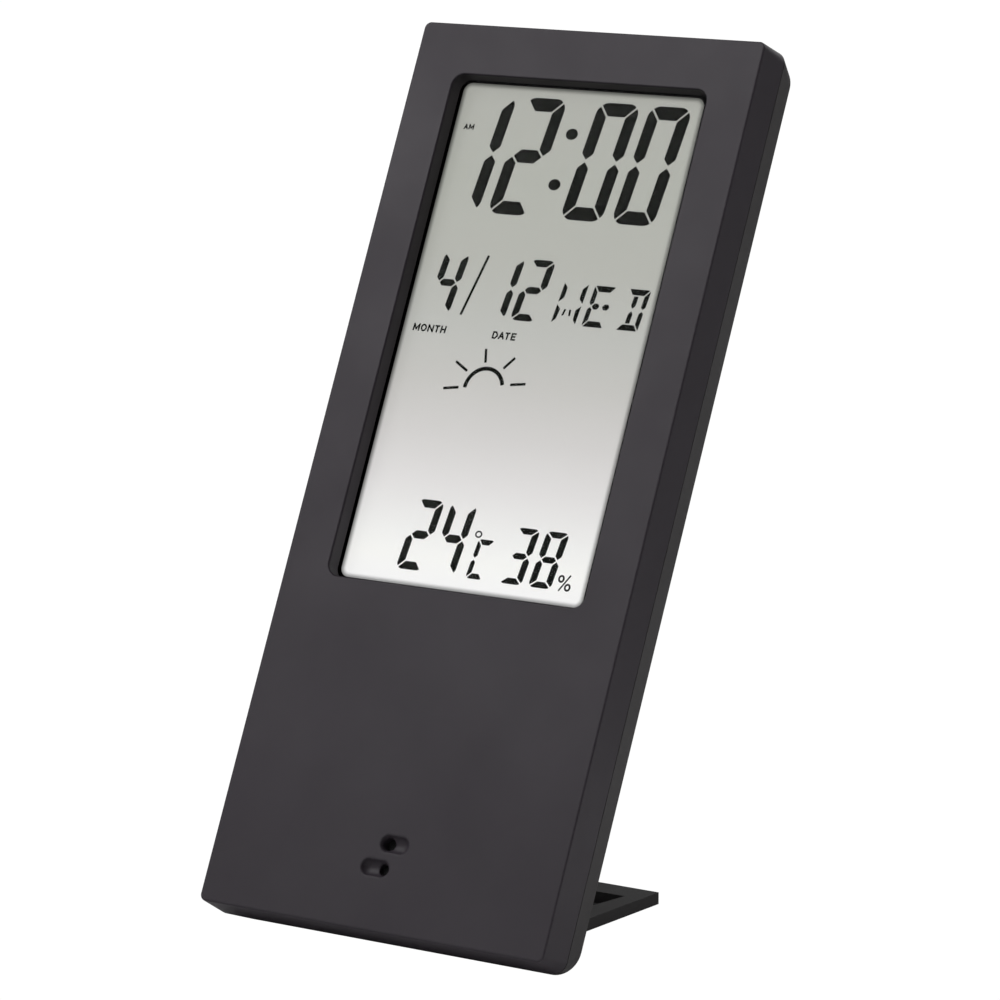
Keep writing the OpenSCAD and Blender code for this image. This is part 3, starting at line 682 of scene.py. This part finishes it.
def caption(letters, z0, z1, weight):
    """Small capitals: letters lists each character with the left and right ends of its cell."""
    slant, outlines = 0.06, []
    low, high = z0 + weight / 2, z1 - weight / 2
    for text, x0, x1 in letters:
        left, right = x0 + weight / 2, x1 - weight / 2

        def place(point):
            z = low + point[1] * (high - low)
            return left + point[0] * (right - left) + slant * (z - low), z

        if text == "O":
            cx, cz = place((0.5, 0.5))
            outlines += ring_parts(cx, cz, (right - left) / 2, (high - low) / 2, weight, 20)
            continue
        for ends in LETTER_STROKES[text]:
            (ax, az), (bx, bz) = place(ends[0]), place(ends[1])
            length = math.hypot(bx - ax, bz - az)
            over = weight / 2.4 / length
            ex, ez = (bx - ax) * over, (bz - az) * over
            outlines.append(stroke([(ax - ex, az - ez), (bx + ex, bz + ez)], weight))
    return outlines


def build_display():
    """The ink of all the figures and captions, and the printed border round them."""
    front, rear = 3.51, 3.54
    month = caption((("M", -20.97, -19.77), ("O", -19.58, -18.5), ("N", -18.3, -17.22),
                     ("T", -17.05, -16.13), ("H", -15.92, -14.95)), 93.86, 95.1, 0.26)
    date = caption((("D", -6.42, -5.42), ("A", -5.3, -4.22), ("T", -4.15, -3.27),
                    ("E", -3.02, -2.14)), 93.83, 95.05, 0.26)
    half_day = caption((("A", -21.05, -20.28), ("M", -20.15, -19.2)), 127.33, 128.28, 0.2)
    rows = {"figures_time": clock_figures(), "figures_date": date_figures(),
            "figures_weekday": weekday_figures(), "figures_sunrise": sunrise_sign(),
            "figures_climate": climate_figures(), "caption_month": month, "caption_date": date,
            "caption_am": half_day}
    for name, outlines in rows.items():
        piece(name, prisms(name, outlines, front, rear), INK)
    outer = rounded_box(-24.3, 24.3, 51.5, 136.4, VIEW_R)
    inner = rounded_box(*VIEW_AREA, VIEW_R)
    piece("window_border", frame_mesh("window_border", outer, inner, front, rear), BORDER)


# ---------------------------------------------------------------- light, floor, camera
def studio():
    """White surroundings for the camera that light the part only a little."""
    world = bpy.data.worlds.new("studio")
    bpy.context.scene.world = world
    world.use_nodes = True
    tree = world.node_tree
    tree.nodes.clear()
    out = tree.nodes.new("ShaderNodeOutputWorld")
    path = tree.nodes.new("ShaderNodeLightPath")
    seen = tree.nodes.new("ShaderNodeBackground")
    seen.inputs["Color"].default_value = (1, 1, 1, 1)
    seen.inputs["Strength"].default_value = 1.02
    lit = tree.nodes.new("ShaderNodeBackground")
    lit.inputs["Color"].default_value = (1, 1, 1, 1)
    lit.inputs["Strength"].default_value = 0.14
    mix = tree.nodes.new("ShaderNodeMixShader")
    tree.links.new(path.outputs["Is Camera Ray"], mix.inputs[0])
    tree.links.new(lit.outputs[0], mix.inputs[1])
    tree.links.new(seen.outputs[0], mix.inputs[2])
    tree.links.new(mix.outputs[0], out.inputs["Surface"])


def soft_box(name, place, target, size, watts):
    """Rectangular lamp that faces its target and that the camera doesn't see."""
    light = bpy.data.lights.new(name, "AREA")
    light.shape = "RECTANGLE"
    light.size, light.size_y = size
    light.energy = watts
    obj = bpy.data.objects.new(name, light)
    bpy.context.scene.collection.objects.link(obj)
    obj.location = place
    obj.rotation_mode = "QUATERNION"
    obj.rotation_quaternion = (Vector(target) - Vector(place)).to_track_quat("-Z", "Y")
    obj.visible_camera = False


# Where the floor shows a painted shadow to the camera
# The stand's opening on the table, in metres by the stand's own axes: middle and half of its
# length, half width where y is 0, and how much that grows along y
HOLE_Y, HOLE_HALF_X, HOLE_FLARE = (-0.0057, 0.0142), 0.01817, 0.2326


def floor():
    """Large white sheet just under the part, with a painted shadow inside the stand's opening."""
    mesh = bpy.data.meshes.new("floor")
    side, gap = 6.0, 0.00005
    mesh.from_pydata([(-side, -side, 0), (side, -side, 0), (side, side, 0), (-side, side, 0)],
                     [], [(0, 1, 2, 3)])
    obj = bpy.data.objects.new("floor", mesh)
    obj.location.z = -gap
    bpy.context.scene.collection.objects.link(obj)
    s = Shader("floor_white")
    tone = s.ramp(s.noise(60, 2), ((0.3, (0.80, 0.80, 0.80)), (0.7, (0.82, 0.82, 0.82))))
    matt = s.add("BsdfDiffuse", {"Color": tone}).outputs[0]
    # The camera sees white, but for the floor inside the opening of the stand, which carries a painted
    # shadow.
    # That part is placed by the stand's own axes, is painted darker where it is shaded from above and is
    # painted black at a glancing angle.
    open_sky = s.add("AmbientOcclusion", {"Distance": 0.15}, samples=16).outputs["AO"]
    glance = s.add("SeparateXYZ", {0: s.add("NewGeometry").outputs["Incoming"]}).outputs["Z"]
    shade = s.spread(glance, 0.015, s.spread(open_sky, 0.3, 0.95, 0.3, 0.95), 0.30, 0.34)
    by_stand = s.add("TexCoord", object=NODES["kickstand"]).outputs["Object"]
    x, y, z = s.add("SeparateXYZ", {0: by_stand}).outputs
    beside = s.math("SUBTRACT", s.math("SUBTRACT", s.math("ABSOLUTE", x), HOLE_HALF_X),
                    s.math("MULTIPLY", y, HOLE_FLARE))
    outside = s.math("MAXIMUM", s.math("MAXIMUM", beside, s.past(y, *HOLE_Y)),
                     s.past(z, 0.0, 4 * gap))
    level = s.spread(outside, shade, 1.02, 0.0, 0.0003)
    glow = s.add("Emission", {"Color": (1, 1, 1, 1), "Strength": level}).outputs[0]
    seen = s.add("LightPath").outputs["Is Camera Ray"]
    s.close(s.add("MixShader", {0: seen, 1: matt, 2: glow}).outputs[0])
    mesh.materials.append(s.material)


def camera():
    """Long lens, a third of the way round to the right and a little above."""
    azimuth, elevation = math.radians(32.11), math.radians(11.40)
    lens_mm, away_mm, right_mm, down_mm = 163.83, 690.8, 2.812, 4.27
    back = Vector((math.sin(azimuth) * math.cos(elevation),
                   -math.cos(azimuth) * math.cos(elevation), math.sin(elevation)))
    right = Vector((math.cos(azimuth), math.sin(azimuth), 0))
    up = right.cross(-back)
    middle = CASE @ Vector((0, 0, 71.8))
    data = bpy.data.cameras.new("camera")
    data.sensor_width = 36
    data.lens = lens_mm
    data.clip_start, data.clip_end = 0.01, 50
    obj = bpy.data.objects.new("camera", data)
    bpy.context.scene.collection.objects.link(obj)
    obj.location = middle + (back * away_mm + right * right_mm - up * down_mm) * MM
    obj.rotation_mode = "QUATERNION"
    obj.rotation_quaternion = (-back).to_track_quat("-Z", "Y")
    bpy.context.scene.camera = obj


dress_cad_nodes()
build_display()
studio()
soft_box("key", (-0.26, -0.28, 0.50), (0, 0, 0.07), (0.45, 0.45), 2.0)
soft_box("rim", (0.30, 0.44, 0.66), (0, 0, 0.07), (0.4, 0.4), 1.5)
soft_box("back", (-0.05, 0.60, 0.42), (0, 0, 0.07), (0.7, 0.5), 1.3)
soft_box("low_fill", (0.080, 0.010, 0.004), (0.022, -0.008, 0.004), (0.02, 0.02), 0.0035)
floor()
camera()
bpy.context.scene.view_settings.view_transform = "Standard"
